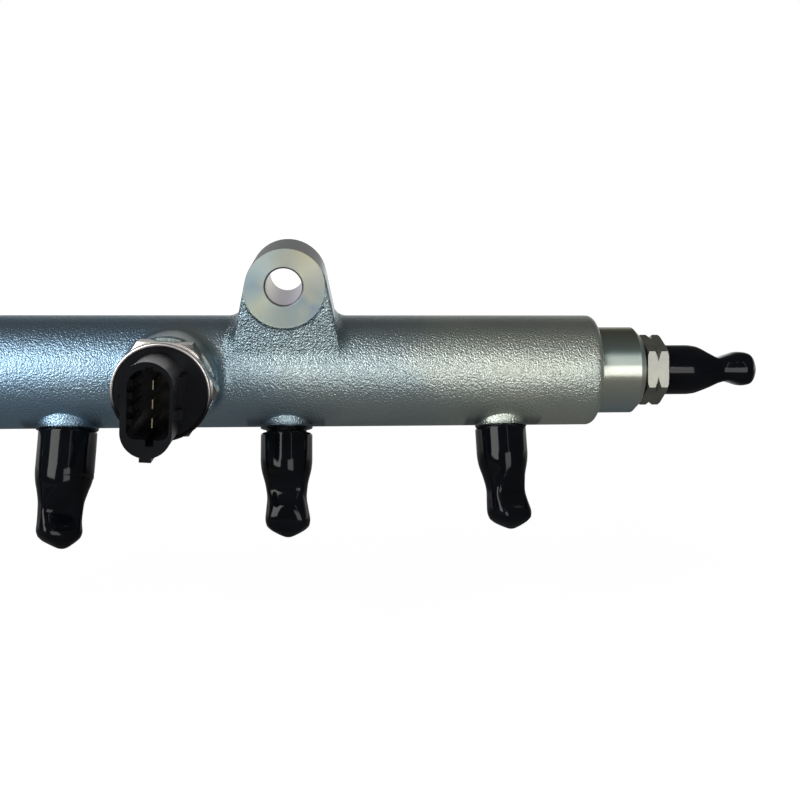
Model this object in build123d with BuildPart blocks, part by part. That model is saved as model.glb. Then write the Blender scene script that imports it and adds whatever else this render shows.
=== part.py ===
from build123d import *
from math import radians, sin, cos, sqrt, tan
import os

# Common-rail fuel rail for a four-cylinder diesel engine: a forged and machined
# steel rail with a pressure sensor, a pressure-relief valve and transit caps.
# All sizes are in millimetres.
#
# Frame: the origin lies midway between the two mounting holes, on the rear seat
# plane.  +X runs along the rail towards the relief valve, +Z is up and -Y is the
# front, where the bolt heads and the sensor are.

# ---------------------------------------------------------------- driving sizes
# Forging
rail_d = 34.0                # outside diameter of the rail
rail_end_margin = 29.2       # forging beyond the outermost ports
rail_end_round = 2.4         # rounding of the two end edges
main_bore_d = 10.6           # drilled gallery
blind_wall = 14.0            # steel left behind the gallery at the closed end
drill_point_angle = 118.0    # point of the gallery drill
port_pitch = 65.4            # spacing of the five fuel ports

# Mounting lugs
lug_height = 27.7            # hole axis above the rail axis
lug_r = 11.9
lug_shift = 0.6              # forged outline off the hole axis, along the rail
lug_drop = 0.9               # forged outline below the hole axis
lug_front = 14.4             # spot face in front of the rail axis
lug_rear = 17.5              # rear seat behind the rail axis
lug_root_half_width = 18.0   # at the root
lug_root_depth = 2.0         # root below the rail axis, inside the bar
lug_edge_round = 1.0
lug_blend_r = 4.0            # blend between lug and bar
spot_face_d = 23.7
spot_face_depth = 0.5
seat_pad_height = 1.6        # machined rear pad, proud of the forging
seat_pad_d = 20.6
mount_hole_d = 10.5          # clearance hole for an M10 bolt
mount_hole_chamfer = 0.5

# Fuel ports
inlet_shift = 0.6            # inlet port off the middle of the port row
port_tilt = 24.1             # degrees from straight down towards the front
port_face = 17.6             # port face to rail axis
port_boss_draft = 8.0        # degrees, the boss widens towards the bar
thread_undercut = 1.4        # length of the turned groove behind each thread
undercut_depth = 0.9         # how far the groove lies under the thread
thread_lead = 1.0            # chamfer at the start of each outside thread
outlet_thread_d = 13.9       # M14 x 1.5, crest diameter
outlet_boss_d = 15.6
outlet_nipple_length = 10.0
inlet_thread_d = 15.9        # M16 x 1.5, crest diameter
inlet_boss_d = 17.8
inlet_nipple_length = 13.6
port_bore_d = 3.0
pipe_seat_d = 8.2            # mouth of the pipe seat
pipe_seat_angle = 60.0

# Turned nose and the sockets for the two screwed-in units
nose_d = 26.7
nose_length = 14.0
nose_chamfer = 2.0
thread_gap = 0.08            # radial gap between a screwed-in thread and its hole
socket_lead = 0.8            # chamfer at the mouth of a threaded hole
sealing_cone_angle = 60.0    # metal-to-metal cone at the bottom of both sockets

# Relief valve
valve_thread_d = 17.8        # M18 x 1.5, crest diameter
valve_thread_length = 16.0
valve_tip_d = 12.0           # flat end of the sealing cone
valve_neck_length = 1.1      # turned relief between nose and hexagon
valve_neck_d = 15.0
valve_hex_af = 19.0
valve_hex_width = 6.5
valve_hex_turn = 13.0        # degrees, how the hexagon stopped when tightened
hex_chamfer_angle = 30.0     # corner chamfers of both hexagons
valve_hex_land_d = 20.6      # where the corner chamfers start
groove_width = 2.0           # turned groove across the hexagon's corners
groove_bottom_d = 19.5
return_thread_d = 13.9       # M14 x 1.5, crest diameter
return_nipple_length = 10.0
return_bore_d = 3.4
chamber_d = 9.2              # spring chamber
chamber_length = 22.4
seat_d = 10.2
seat_length = 5.0
seat_hole_d = 1.8
press_gap = 0.02             # radial allowance drawn for pressed-in pieces
plunger_gap = 0.1            # axial allowance between plunger cone and seat
plunger_cone_angle = 60.0
plunger_cone_d = 6.0
plunger_tip_d = 0.8
plunger_guide_length = 3.0
plunger_flat_depth = 0.9     # three flats let the fuel past the guide
plunger_clearance = 0.04     # radial running clearance of the guide
plunger_spigot_d = 4.6
plunger_spigot_length = 1.6
plunger_lift = 0.8           # travel before the plunger meets the stop
spring_wire_d = 1.4
spring_coils = 5.0
spring_side_gap = 0.15       # radial gap between spring and chamber
spring_end_gap = 0.05
shim_thickness = 0.8
shim_d = 8.8
stop_d = 3.6                 # drilled stop sleeve inside the spring
stop_hole_d = 1.6
stop_gap = 0.1               # axial allowance beyond the plunger's lift
stop_flange_thickness = 0.8

# Pressure sensor: distances along its axis are called reach, from the rail axis
sensor_offset = 32.55        # from the inlet port towards the relief valve
sensor_rise = 3.8            # degrees, sensor axis above the bolt axis
sensor_turn = -3.6           # degrees, how the hexagon stopped when tightened
sensor_boss_d = 27.6
sensor_boss_reach = 25.6
sensor_boss_edge = 0.5       # chamfer around the boss face
sensor_blend_r = 3.0         # blend between sensor boss and bar
sensor_thread_d = 17.8       # M18 x 1.5, crest diameter
sensor_thread_length = 11.0
sensor_tip_d = 11.6
passage_d = 3.6              # drilling from the gallery to the sensor
sensor_hex_af = 25.4
sensor_hex_width = 7.2
sensor_hex_land_d = 27.0
can_d = 26.1                 # steel sleeve that carries the connector
can_length = 3.6
can_wall = 1.1
sensor_bore_d = 3.0
sensor_floor = 3.0           # steel between boss face and electronics pocket
pocket_d = 20.8              # electronics pocket inside the hexagon
cell_d = 9.0                 # steel measuring cell
cell_height = 2.6
cell_membrane = 0.5
board_d = 18.0
board_thickness = 1.0
board_gap = 0.5              # board above the measuring cell
holder_clearance = 0.1
holder_ledge = 1.2           # how far the holder reaches under the board
spigot_length = 3.0          # connector spigot inside the sleeve
spigot_clearance = 0.1
seal_wire_d = 1.3
seal_clearance = 0.03
seal_setback = 0.8           # plastic between the seal and the disc
disc_d = 26.4                # connector disc in front of the sleeve
disc_edge = 0.7              # thickness of its outer band
disc_step_d = 24.2
disc_step_height = 0.5

# Connector socket on the sensor
socket_reach = 18.4          # socket mouth in front of the disc
socket_width = 12.9
socket_shift = -0.5          # socket centre beside the sensor axis
socket_top = 11.0            # above the sensor axis
socket_bottom = 13.6         # below the sensor axis
socket_mouth_round = 0.4
opening_width = 10.5
opening_shift = -0.1         # opening centre beside the sensor axis
opening_top = 9.0
opening_bottom = 8.7
opening_corner_r = 4.4
opening_lower_corner_r = 2.2
opening_depth = 16.6
key_slot_width = 2.0
key_slot_depth = 1.7
top_notch_width = 1.9
top_notch_depth = 0.8
top_notch_length = 3.0
chin_width = 3.0             # rib under the socket
chin_height = 1.0
coding_rib_size = 0.9
coding_rib_height = 1.6
coding_rib_pitch = 3.4
coding_rib_count = 4
coding_rib_setback = 3.0     # ribs end this far behind the mouth
guide_x = 7.2                # outer face of the guide block beside the socket
guide_root = 0.4             # how deep it runs into the socket's wall
guide_half_height = 6.1
guide_length = 8.6           # in front of the disc
ramp_length = 3.2            # latch ramp on the socket's side
ramp_height = 2.6
ramp_reach = 1.6
ramp_root = 0.3              # ramp reaches that far into the socket's wall
ramp_drop = 3.3              # ramp centre below the sensor axis
ramp_setback = 5.0           # ramp tip behind the mouth
side_tab_x = 10.5
side_tab_height = 2.8
side_tab_drop = 2.0
side_tab_length = 7.4
terminal_pitch = 4.95
terminal_drop = 0.5          # middle blade below the sensor axis
terminal_width = 2.4
terminal_thickness = 0.8
terminal_shift = 0.25        # blade row beside the sensor axis
terminal_length = 13.4       # in front of the disc's raised face
terminal_tail_gap = 0.1      # tail end in front of the board
terminal_point = 0.9         # bevel on each side of the blade's tip
terminal_bevel = 0.25
terminal_clearance = 0.03

# Transit caps, pushed on by hand
cap_wall_gap = 0.22          # radial play over the thread crests
cap_stand_off = 0.35         # usual rim height over the port face
outlet_cap_d = 15.5
outlet_cap_body = 10.7       # rim to shoulder
inlet_cap_d = 16.8
inlet_cap_body = 14.4
cap_roof = 0.5               # shoulder above the cavity
cap_rim_chamfer = 0.3
grip_margin = 0.5            # the hollows' outlines run out this far outside the cap
hollow_run_in = 0.3          # slope at which the hollows leave the shoulder
grip_crown = 1.2             # half width of the grip where it meets the tip
grip_length = 20.3           # shoulder to tip
inlet_grip_scale = 1.02      # grip of the inlet cap is that much wider
# Grip outlines, each as pairs of half width and distance from the shoulder
grip_wide = [(6.3, 4.9), (5.9, 8.4), (6.6, 15.0), (5.2, 17.9)]
grip_front = [(4.1, 6.7), (5.6, 11.7), (4.5, 15.4)]
grip_rear = [(3.45, 9.9), (4.85, 15.6), (4.0, 18.2)]
# How each cap sits: turn about its axis and lean along the rail in degrees, and
# how far it stands off beyond the usual rim height
outlet_cap_seats = [(158, -0.9, 0.3), (-10, 0.6, 0.0), (5, -0.2, 1.4), (153, 1.8, 0.0)]
inlet_cap_seat = (153, -1.3, 0.0)
return_cap_seat = (-12, 0.0, -0.2)

# ------------------------------------------------------------- derived geometry
rail_r = rail_d / 2
rail_y = -lug_rear
rail_z = -lug_height
inlet_x = inlet_shift
outlet_x = [port_pitch * i for i in (-2, -1, 1, 2)]
lug_x = [-port_pitch, port_pitch]
rail_end = 2 * port_pitch + rail_end_margin
nose_end = rail_end + nose_length
gallery_end = -rail_end + blind_wall
sensor_x = inlet_x + sensor_offset


def cone_run(big_d, small_d, angle):
    """Axial length of a cone between two diameters, for a full cone angle."""
    return (big_d - small_d) / 2 / tan(radians(angle / 2))


def swung(plane, lean, turn):
    """The plane leaned about its own y axis and then turned about its normal."""
    return Plane(plane.location * Rotation(0, lean, turn))


def across_rail(x):
    """Plane square to the rail at x, centred on the rail axis, facing +X."""
    return Plane(origin=(x, rail_y, rail_z), x_dir=(0, 1, 0), z_dir=(1, 0, 0))


def lug_plane(x, y):
    """Plane centred on the mounting hole at x, facing the rear."""
    return Plane(origin=(x, y, 0), x_dir=(-1, 0, 0), z_dir=(0, 1, 0))


def port_plane(x, reach):
    """Plane square to the fuel port at x, reach away from the rail axis, facing out."""
    tilt = radians(port_tilt)
    normal = (0, -sin(tilt), -cos(tilt))
    return Plane(origin=(x, rail_y, rail_z), x_dir=(1, 0, 0), z_dir=normal).offset(reach)


def sensor_plane(reach):
    """Plane square to the sensor axis, reach away from the rail axis, facing out."""
    rise = radians(sensor_rise)
    normal = (0, -cos(rise), sin(rise))
    base = Plane(origin=(sensor_x, rail_y, rail_z), x_dir=(1, 0, 0), z_dir=normal)
    return swung(base.offset(reach), 0, sensor_turn)


def lengthwise(plane):
    """Plane that holds another plane's normal: local x is radial, local y axial."""
    return Plane(origin=plane.origin, x_dir=plane.x_dir, z_dir=plane.x_dir.cross(plane.z_dir))


def turned(plane, outline, mode=Mode.ADD):
    """Adds or cuts a solid of revolution; outline is (radius, height) pairs."""
    with BuildSketch(lengthwise(plane)) as profile:
        with BuildLine():
            Polyline(*outline, close=True)
        make_face()
    revolve(profile.sketch, axis=Axis(plane.origin, plane.z_dir), mode=mode)


def socket_cut(plane, thread_d, thread_length, small_d):
    """Cuts a threaded hole with a sealing cone; plane is its mouth, facing out."""
    hole_r = thread_d / 2 + thread_gap
    depth = thread_length - cone_run(2 * hole_r, thread_d, sealing_cone_angle)
    bottom = thread_length + cone_run(thread_d, small_d, sealing_cone_angle)
    turned(plane, [(0, 0), (hole_r + socket_lead, 0), (hole_r, -socket_lead), (hole_r, -depth),
                   (small_d / 2, -bottom), (0, -bottom)], mode=Mode.SUBTRACT)


def nipple(plane, thread_d, length):
    """Adds an outside thread with its undercut; plane is the face it stands on."""
    crest = thread_d / 2
    root = crest - undercut_depth
    turned(plane, [(0, -undercut_depth), (root, -undercut_depth), (root, thread_undercut),
                   (crest, thread_undercut + undercut_depth), (crest, length - thread_lead),
                   (crest - thread_lead, length), (0, length)])


def radius_at(point):
    """Distance of a point from the rail axis."""
    return sqrt((point.Y - rail_y) ** 2 + (point.Z - rail_z) ** 2)


def runs_on_rail(edge):
    """True for an edge that lies on the bar's surface and isn't one of its own circles."""
    on_bar = all(abs(radius_at(edge @ t) - rail_r) < 0.01 for t in (0, 0.25, 0.5, 0.75, 1))
    return on_bar and edge.length < rail_end and edge.geom_type != GeomType.CIRCLE


def in_plane_y(edge, y):
    return all(abs((edge @ t).Y - y) < 0.001 for t in (0, 0.5, 1))


# --------------------------------------------------------------------- rail body
os.makedirs("parts", exist_ok=True)

with BuildPart() as rail_body:
    # forged bar with its turned nose
    turned(across_rail(0), [(0, -rail_end), (rail_r, -rail_end), (rail_r, rail_end),
                            (nose_d / 2, rail_end), (nose_d / 2, nose_end), (0, nose_end)])
    bar_circles = rail_body.edges().filter_by(GeomType.CIRCLE)
    fillet([e for e in bar_circles if abs(e.radius - rail_r) < 0.01], rail_end_round)
    chamfer(rail_body.edges().filter_by(GeomType.CIRCLE).sort_by(Axis.X)[-1], nose_chamfer)

    # mounting lugs, rounded at both faces and blended into the bar
    forged_front = rail_y - lug_front - spot_face_depth
    forged_rear = -seat_pad_height
    for x in lug_x:
        with BuildSketch(lug_plane(x + lug_shift, forged_front)):
            with Locations((0, -lug_drop)):
                Circle(lug_r)
            with Locations((0, -lug_height - lug_root_depth)):
                Rectangle(2 * lug_root_half_width, lug_root_depth)
            make_hull()
        extrude(amount=forged_rear - forged_front)
    lug_rims = [e for e in rail_body.edges()
                if (in_plane_y(e, forged_front) or in_plane_y(e, forged_rear))
                and not runs_on_rail(e)]
    fillet(lug_rims, lug_edge_round)
    fillet([e for e in rail_body.edges() if runs_on_rail(e)], lug_blend_r)

    # sensor boss, blended into the bar
    with BuildSketch(sensor_plane(0)):
        Circle(sensor_boss_d / 2)
    extrude(amount=sensor_boss_reach)
    fillet([e for e in rail_body.edges() if runs_on_rail(e)], sensor_blend_r)
    chamfer(rail_body.edges().filter_by(GeomType.CIRCLE).sort_by(Axis.Y)[0], sensor_boss_edge)

    # port bosses with their threaded nipples
    for x in (*outlet_x, inlet_x):
        is_inlet = x == inlet_x
        face = port_plane(x, port_face)
        with BuildSketch(face):
            Circle(inlet_boss_d / 2 if is_inlet else outlet_boss_d / 2)
        extrude(amount=-port_face, taper=-port_boss_draft)
        nipple(face, inlet_thread_d if is_inlet else outlet_thread_d,
               inlet_nipple_length if is_inlet else outlet_nipple_length)

    # gallery, drilled from the nose end and left blind at the other end
    bore_r = main_bore_d / 2
    point = cone_run(main_bore_d, 0, drill_point_angle)
    turned(across_rail(0), [(0, gallery_end - point), (bore_r, gallery_end), (bore_r, nose_end),
                            (0, nose_end)], mode=Mode.SUBTRACT)

    # a drilling and a pipe seat in every nipple
    for x in (*outlet_x, inlet_x):
        is_inlet = x == inlet_x
        length = inlet_nipple_length if is_inlet else outlet_nipple_length
        seat_run = cone_run(pipe_seat_d, port_bore_d, pipe_seat_angle)
        turned(port_plane(x, port_face + length),
               [(0, 0), (pipe_seat_d / 2, 0), (port_bore_d / 2, -seat_run),
                (port_bore_d / 2, -port_face - length), (0, -port_face - length)],
               mode=Mode.SUBTRACT)

    # threaded sockets of the relief valve and the sensor
    socket_cut(across_rail(nose_end), valve_thread_d, valve_thread_length, main_bore_d)
    socket_cut(sensor_plane(sensor_boss_reach), sensor_thread_d, sensor_thread_length, passage_d)
    turned(sensor_plane(0), [(0, 0), (passage_d / 2, 0), (passage_d / 2, sensor_boss_reach),
                             (0, sensor_boss_reach)], mode=Mode.SUBTRACT)

    # machined seat pads, spot faces and bolt holes of the lugs
    for x in lug_x:
        with BuildSketch(lug_plane(x, forged_rear)):
            Circle(seat_pad_d / 2)
        extrude(amount=seat_pad_height)
        with BuildSketch(lug_plane(x, forged_front)):
            Circle(spot_face_d / 2)
        extrude(amount=spot_face_depth, mode=Mode.SUBTRACT)
        hole_length = lug_front + lug_rear
        hole_r = mount_hole_d / 2
        flare = hole_r + mount_hole_chamfer
        turned(lug_plane(x, -hole_length),
               [(0, 0), (flare, 0), (hole_r, mount_hole_chamfer),
                (hole_r, hole_length - mount_hole_chamfer), (flare, hole_length),
                (0, hole_length)], mode=Mode.SUBTRACT)
rail_body.part.label = "rail_body"
export_step(rail_body.part, "parts/rail_body.step")


# ----------------------------------------------------------------- relief valve
hex_face = nose_end + valve_neck_length + valve_hex_width
seat_face = nose_end - valve_thread_length - cone_run(valve_thread_d, valve_tip_d,
                                                      sealing_cone_angle) + seat_length
chamber_end = seat_face + chamber_length


def hex_prism(plane, across_flats, width, turn):
    """Adds a hexagonal prism; plane is the face it stands on."""
    with BuildSketch(plane) as hexagon:
        RegularPolygon(across_flats / 2, 6, major_radius=False, rotation=turn)
    extrude(hexagon.sketch, amount=width)


with BuildPart() as relief_valve_body:
    # hexagon with chamfered corners and a turned groove across them
    hex_start = nose_end + valve_neck_length
    corner_r = valve_hex_af / sqrt(3)
    land_r = valve_hex_land_d / 2
    corner_drop = (corner_r - land_r) * tan(radians(hex_chamfer_angle))
    hex_prism(across_rail(hex_start), valve_hex_af, valve_hex_width, 30 - valve_hex_turn)
    turned(across_rail(hex_start),
           [(0, 0), (land_r, 0), (corner_r, corner_drop), (corner_r, valve_hex_width - corner_drop),
            (land_r, valve_hex_width), (0, valve_hex_width)], mode=Mode.INTERSECT)
    turned(across_rail(hex_start + valve_hex_width / 2),
           [(groove_bottom_d / 2, 0), (corner_r, -groove_width / 2),
            (corner_r, groove_width / 2)], mode=Mode.SUBTRACT)

    # neck, thread and sealing cone, sealed on the cone in the nose
    thread_r = valve_thread_d / 2
    thread_start = nose_end - valve_thread_length
    tip = thread_start - cone_run(valve_thread_d, valve_tip_d, sealing_cone_angle)
    turned(across_rail(0),
           [(0, tip), (valve_tip_d / 2, tip), (thread_r, thread_start), (thread_r, nose_end),
            (valve_neck_d / 2, nose_end), (valve_neck_d / 2, hex_start), (0, hex_start)])
    nipple(across_rail(hex_face), return_thread_d, return_nipple_length)

    # seat bore, spring chamber and return drilling
    nipple_end = hex_face + return_nipple_length
    turned(across_rail(0),
           [(0, tip), (seat_d / 2 + press_gap, tip), (seat_d / 2 + press_gap, seat_face),
            (chamber_d / 2, seat_face), (chamber_d / 2, chamber_end),
            (return_bore_d / 2, chamber_end), (return_bore_d / 2, nipple_end), (0, nipple_end)],
           mode=Mode.SUBTRACT)
relief_valve_body.part.label = "relief_valve_body"
export_step(relief_valve_body.part, "parts/relief_valve_body.step")

with BuildPart() as relief_seat:
    seat_start = seat_face - seat_length
    turned(across_rail(0),
           [(seat_hole_d / 2, seat_start), (seat_d / 2, seat_start), (seat_d / 2, seat_face),
            (seat_hole_d / 2, seat_face)])
relief_seat.part.label = "relief_seat"
export_step(relief_seat.part, "parts/relief_seat.step")

# plunger: its cone closes the seat hole, its guide runs in the spring chamber
cone_start = seat_face + plunger_gap
cone_end = cone_start + cone_run(plunger_cone_d, seat_hole_d, plunger_cone_angle)
guide_end = cone_end + plunger_guide_length
spigot_end = guide_end + plunger_spigot_length

with BuildPart() as relief_plunger:
    guide_r = chamber_d / 2 - plunger_clearance
    tip_reach = cone_run(seat_hole_d, plunger_tip_d, plunger_cone_angle)
    turned(across_rail(0),
           [(0, cone_start - tip_reach), (plunger_tip_d / 2, cone_start - tip_reach),
            (plunger_cone_d / 2, cone_end), (guide_r, cone_end), (guide_r, guide_end),
            (plunger_spigot_d / 2, guide_end), (plunger_spigot_d / 2, spigot_end),
            (0, spigot_end)])
    with BuildSketch(across_rail(cone_end)):
        with PolarLocations(guide_r - plunger_flat_depth, 3):
            Rectangle(plunger_flat_depth, 2 * guide_r, align=(Align.MIN, Align.CENTER))
    extrude(amount=plunger_guide_length, mode=Mode.SUBTRACT)
relief_plunger.part.label = "relief_plunger"
export_step(relief_plunger.part, "parts/relief_plunger.step")

# stop sleeve, clamped between the shim and the end of the chamber
stop_flange_start = chamber_end - stop_flange_thickness
shim_start = stop_flange_start - shim_thickness

with BuildPart() as relief_stop:
    stop_tip = spigot_end + plunger_lift + stop_gap
    turned(across_rail(0),
           [(stop_hole_d / 2, stop_tip), (stop_d / 2, stop_tip), (stop_d / 2, stop_flange_start),
            (shim_d / 2, stop_flange_start), (shim_d / 2, chamber_end),
            (stop_hole_d / 2, chamber_end)])
relief_stop.part.label = "relief_stop"
export_step(relief_stop.part, "parts/relief_stop.step")

with BuildPart() as relief_shim:
    shim_hole_r = stop_d / 2 + press_gap
    turned(across_rail(0),
           [(shim_hole_r, shim_start), (shim_d / 2, shim_start), (shim_d / 2, stop_flange_start),
            (shim_hole_r, stop_flange_start)])
relief_shim.part.label = "relief_shim"
export_step(relief_shim.part, "parts/relief_shim.step")

with BuildPart() as relief_spring:
    coil_r = chamber_d / 2 - spring_side_gap - spring_wire_d / 2
    first = guide_end + spring_end_gap + spring_wire_d / 2
    last = shim_start - spring_end_gap - spring_wire_d / 2
    with BuildLine() as coil:
        Helix(pitch=(last - first) / spring_coils, height=last - first, radius=coil_r,
              center=(first, rail_y, rail_z), direction=(1, 0, 0))
    with BuildSketch(Plane(origin=coil.line @ 0, z_dir=coil.line % 0)) as wire:
        Circle(spring_wire_d / 2)
    sweep(wire.sketch, path=coil.line, is_frenet=True)
relief_spring.part.label = "relief_spring"
export_step(relief_spring.part, "parts/relief_spring.step")


# --------------------------------------------------------------- pressure sensor
hex_reach = sensor_boss_reach + sensor_hex_width
can_reach = hex_reach + can_length
floor_reach = sensor_boss_reach + sensor_floor
can_floor_reach = can_reach - spigot_length - spigot_clearance
sensor_tip_reach = (sensor_boss_reach - sensor_thread_length
                    - cone_run(sensor_thread_d, sensor_tip_d, sealing_cone_angle))
sleeve_r = can_d / 2 - can_wall

with BuildPart() as sensor_body:
    # hexagon with chamfered corners, and the sleeve in front of it
    corner_r = sensor_hex_af / sqrt(3)
    land_r = sensor_hex_land_d / 2
    corner_drop = (corner_r - land_r) * tan(radians(hex_chamfer_angle))
    hex_prism(sensor_plane(sensor_boss_reach), sensor_hex_af, sensor_hex_width, 0)
    turned(sensor_plane(sensor_boss_reach),
           [(0, 0), (land_r, 0), (corner_r, corner_drop), (corner_r, sensor_hex_width - corner_drop),
            (land_r, sensor_hex_width), (0, sensor_hex_width)], mode=Mode.INTERSECT)
    with BuildSketch(sensor_plane(hex_reach)):
        Circle(can_d / 2)
    extrude(amount=can_length)

    # thread and sealing cone
    thread_r = sensor_thread_d / 2
    thread_end = sensor_boss_reach - sensor_thread_length
    turned(sensor_plane(0),
           [(0, sensor_tip_reach), (sensor_tip_d / 2, sensor_tip_reach), (thread_r, thread_end),
            (thread_r, sensor_boss_reach), (0, sensor_boss_reach)])

    # pressure bore, electronics pocket and connector bore
    turned(sensor_plane(0),
           [(0, sensor_tip_reach), (sensor_bore_d / 2, sensor_tip_reach),
            (sensor_bore_d / 2, floor_reach), (pocket_d / 2, floor_reach),
            (pocket_d / 2, can_floor_reach), (sleeve_r, can_floor_reach), (sleeve_r, can_reach),
            (0, can_reach)], mode=Mode.SUBTRACT)
sensor_body.part.label = "sensor_body"
export_step(sensor_body.part, "parts/sensor_body.step")

with BuildPart() as sensor_cell:
    turned(sensor_plane(floor_reach),
           [(0, cell_height - cell_membrane), (sensor_bore_d / 2, cell_height - cell_membrane),
            (sensor_bore_d / 2, 0), (cell_d / 2, 0), (cell_d / 2, cell_height), (0, cell_height)])
sensor_cell.part.label = "sensor_cell"
export_step(sensor_cell.part, "parts/sensor_cell.step")

board_reach = floor_reach + cell_height + board_gap
board_face = board_reach + board_thickness

with BuildPart() as sensor_board_holder:
    holder_r = pocket_d / 2 - holder_clearance
    seat_r = board_d / 2 + holder_clearance
    ledge_r = board_d / 2 - holder_ledge
    turned(sensor_plane(0),
           [(ledge_r, floor_reach), (holder_r, floor_reach), (holder_r, board_face),
            (seat_r, board_face), (seat_r, board_reach), (ledge_r, board_reach)])
sensor_board_holder.part.label = "sensor_board_holder"
export_step(sensor_board_holder.part, "parts/sensor_board_holder.step")

with BuildPart() as sensor_board:
    with BuildSketch(sensor_plane(board_reach)):
        Circle(board_d / 2)
    extrude(amount=board_thickness)
sensor_board.part.label = "sensor_board"
export_step(sensor_board.part, "parts/sensor_board.step")

# connector: spigot, disc and socket in one moulding
disc_face = can_reach + disc_edge + disc_step_height
mouth = disc_face + socket_reach
opening_floor = mouth - opening_depth
spigot_r = sleeve_r - spigot_clearance
seal_groove_r = sleeve_r - seal_wire_d - seal_clearance
seal_top = can_reach - seal_setback
seal_bottom = seal_top - seal_wire_d - seal_clearance
blade_heights = [-terminal_drop + terminal_pitch * i for i in (1, 0, -1)]
socket_low = socket_width / 2 - socket_bottom
socket_high = socket_top - socket_width / 2

with BuildPart() as sensor_connector:
    turned(sensor_plane(0),
           [(0, can_reach - spigot_length), (spigot_r, can_reach - spigot_length),
            (spigot_r, seal_bottom), (seal_groove_r, seal_bottom), (seal_groove_r, seal_top),
            (spigot_r, seal_top), (spigot_r, can_reach), (disc_d / 2, can_reach),
            (disc_d / 2, can_reach + disc_edge), (disc_step_d / 2, can_reach + disc_edge),
            (disc_step_d / 2, disc_face), (0, disc_face)])

    # oval shroud with a rib underneath
    with BuildSketch(sensor_plane(can_reach)) as shroud:
        with Locations((socket_shift, socket_low), (socket_shift, socket_high)):
            Circle(socket_width / 2)
        make_hull()
        with Locations((socket_shift, -socket_bottom - chin_height)):
            Rectangle(chin_width, socket_width / 2, align=(Align.CENTER, Align.MIN))
    extrude(amount=mouth - can_reach)

    # guide block beside the socket, and the tab on the other side
    socket_side = socket_shift + socket_width / 2
    with BuildSketch(sensor_plane(can_reach)):
        with Locations((socket_side - guide_root, 0)):
            Rectangle(guide_x - socket_side + guide_root, 2 * guide_half_height,
                      align=(Align.MIN, Align.CENTER))
    extrude(amount=disc_edge + disc_step_height + guide_length)
    with BuildSketch(sensor_plane(can_reach)):
        with Locations((0, -side_tab_drop)):
            Rectangle(side_tab_x, side_tab_height, align=(Align.MAX, Align.CENTER))
    extrude(amount=disc_edge + disc_step_height + side_tab_length)

    # socket opening with its key slot and top notch
    with BuildSketch(sensor_plane(opening_floor)) as opening:
        with BuildLine():
            left = opening_shift - opening_width / 2
            right = opening_shift + opening_width / 2
            FilletPolyline((left, 0), (left, opening_top), (right, opening_top), (right, 0),
                           radius=opening_corner_r)
            FilletPolyline((right, 0), (right, -opening_bottom), (left, -opening_bottom),
                           (left, 0), radius=opening_lower_corner_r)
        make_face()
        with Locations((socket_shift + key_slot_width / 2, -opening_bottom)):
            Rectangle(key_slot_width, 2 * key_slot_depth)
    extrude(amount=opening_depth, mode=Mode.SUBTRACT)
    with BuildSketch(sensor_plane(mouth)):
        with Locations((0, opening_top)):
            Rectangle(top_notch_width, 2 * top_notch_depth)
    extrude(amount=-top_notch_length, mode=Mode.SUBTRACT)

    # coding ribs along the left wall
    rib_middle = (coding_rib_count - 1) / 2
    with BuildSketch(sensor_plane(opening_floor)):
        for i in range(coding_rib_count):
            with Locations((left, coding_rib_pitch * (i - rib_middle))):
                Rectangle(coding_rib_size, coding_rib_height, align=(Align.MIN, Align.CENTER))
    extrude(amount=opening_depth - coding_rib_setback)

    # latch ramp on the socket's side
    ramp_tip = mouth - ramp_setback
    ramp_plane = sensor_plane(0)
    with BuildSketch(Plane(origin=ramp_plane.origin - ramp_plane.y_dir * ramp_drop,
                           x_dir=ramp_plane.x_dir, z_dir=ramp_plane.y_dir * -1)):
        with BuildLine():
            Polyline((socket_side - ramp_root, ramp_tip), (socket_side, ramp_tip),
                     (socket_side + ramp_reach, ramp_tip - ramp_length),
                     (socket_side - ramp_root, ramp_tip - ramp_length), close=True)
        make_face()
    extrude(amount=ramp_height / 2, both=True)

    # slots for the blades
    with BuildSketch(sensor_plane(opening_floor)):
        for height in blade_heights:
            with Locations((terminal_shift, height)):
                Rectangle(terminal_thickness + 2 * terminal_clearance,
                          terminal_width + 2 * terminal_clearance)
    extrude(amount=-opening_floor, mode=Mode.SUBTRACT)
sensor_connector.part.label = "sensor_connector"
export_step(sensor_connector.part, "parts/sensor_connector.step")

blade_tip = disc_face + terminal_length
tail = board_face + terminal_tail_gap
for number, height in enumerate(blade_heights, start=1):
    with BuildPart() as sensor_terminal:
        with BuildSketch(lengthwise(sensor_plane(0)).offset(-height)):
            with BuildLine():
                left = terminal_shift - terminal_thickness / 2
                right = terminal_shift + terminal_thickness / 2
                Polyline((left, tail), (right, tail), (right, blade_tip - terminal_point),
                         (right - terminal_bevel, blade_tip), (left + terminal_bevel, blade_tip),
                         (left, blade_tip - terminal_point), close=True)
            make_face()
        extrude(amount=terminal_width / 2, both=True)
    sensor_terminal.part.label = f"sensor_terminal_{number}"
    export_step(sensor_terminal.part, f"parts/sensor_terminal_{number}.step")

with BuildPart() as sensor_o_ring:
    ring_plane = sensor_plane((seal_top + seal_bottom) / 2)
    ring_r = sleeve_r - seal_clearance / 2 - seal_wire_d / 2
    with BuildSketch(lengthwise(ring_plane)) as ring_section:
        with Locations((ring_r, 0)):
            Circle(seal_wire_d / 2)
    revolve(ring_section.sketch, axis=Axis(ring_plane.origin, ring_plane.z_dir))
sensor_o_ring.part.label = "sensor_o_ring"
export_step(sensor_o_ring.part, "parts/sensor_o_ring.step")


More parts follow.
